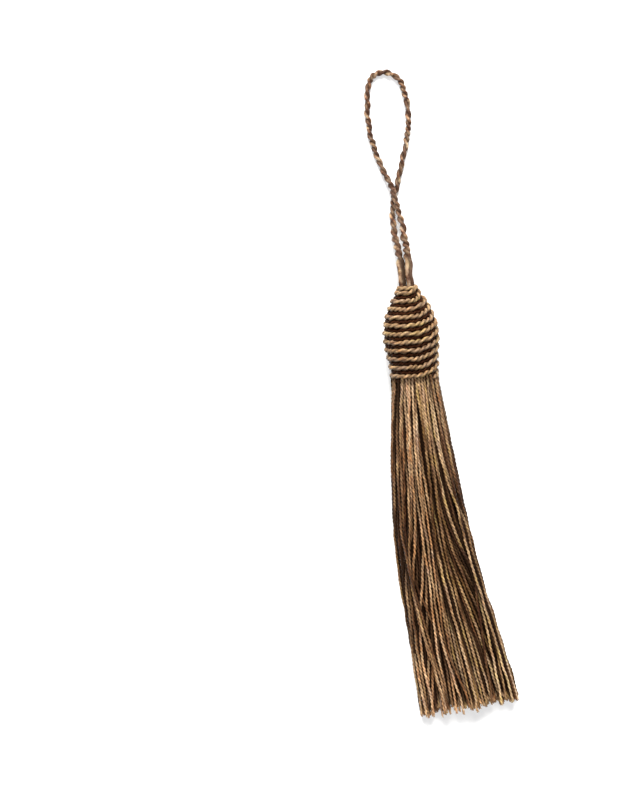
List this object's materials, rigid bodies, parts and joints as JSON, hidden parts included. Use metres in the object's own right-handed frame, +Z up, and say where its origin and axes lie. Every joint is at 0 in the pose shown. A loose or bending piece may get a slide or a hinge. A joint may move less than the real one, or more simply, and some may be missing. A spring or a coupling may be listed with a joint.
{
  "type": "tassel",
  "caption": "Yarn tassel lying flat: a head wound with twisted cord, a fanned skirt of loose strands and a twisted cord loop to hang it by.",
  "frame": {"origin": "on the surface the tassel lies on, at the flat of one wound row under the widest part of the head", "axes": "+Y along the head's axis towards the hanging loop, -Y towards the skirt's cut ends, +Z up from the surface"},
  "size_m": [0.0369, 0.2131, 0.0186],
  "materials": {
    "head_cord": "lustrous twisted rayon cord, bronze and brown",
    "skirt_yarn": "lustrous twisted rayon yarn, bronze and brown",
    "loop_cord": "twisted two-ply cord, mixed brown, tan and maroon"
  },
  "bodies": {
    "root": {"head": "head_cord", "skirt": "skirt_yarn", "loop_cord": "loop_cord"}
  },
  "joints": []
}
